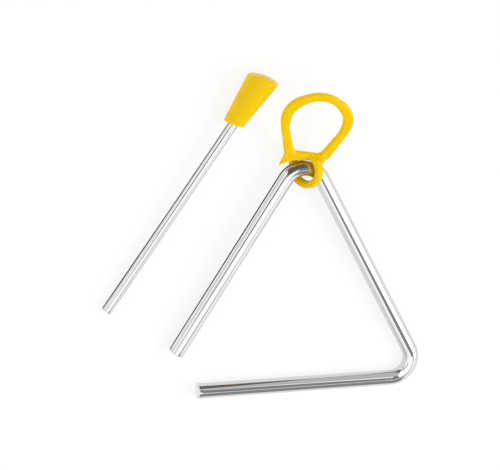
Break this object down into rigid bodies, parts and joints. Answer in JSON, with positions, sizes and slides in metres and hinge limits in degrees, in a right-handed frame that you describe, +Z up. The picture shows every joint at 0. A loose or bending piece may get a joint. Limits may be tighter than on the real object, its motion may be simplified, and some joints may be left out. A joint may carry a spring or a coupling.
{
  "type": "triangle instrument",
  "caption": "Hand triangle of bent round steel bar, open at one corner, hung from a moulded finger loop, with a steel beater in a tapered plastic grip.",
  "frame": {"origin": "on the table, under the middle of the set's bounding box", "axes": "+X along the base bar towards its bend, +Y from the base bar towards the apex, +Z up from the table"},
  "size_m": [0.172, 0.1734, 0.0238],
  "materials": {
    "bar_chrome": "bright plated",
    "holder_plastic": "glossy moulded",
    "beater_chrome": "bright plated",
    "grip_plastic": "glossy moulded"
  },
  "bodies": {
    "triangle": {"triangle_rod": "bar_chrome"},
    "holder": {"holder": "holder_plastic"},
    "beater": {"beater_rod": "beater_chrome", "beater_grip": "grip_plastic"}
  },
  "joints": [
    {"name": "holder_turn", "type": "hinge", "parent": "triangle", "child": "holder", "pos_m": [0.01583, 0.03571, 0.00938], "axis": [0.8428, 0.0612, -0.5348], "range_deg": [-30, 30]},
    {"name": "beater_lift", "type": "slide", "parent": "triangle", "child": "beater", "axis": [0, 0, 1], "range_m": [0, 0.15]}
  ]
}
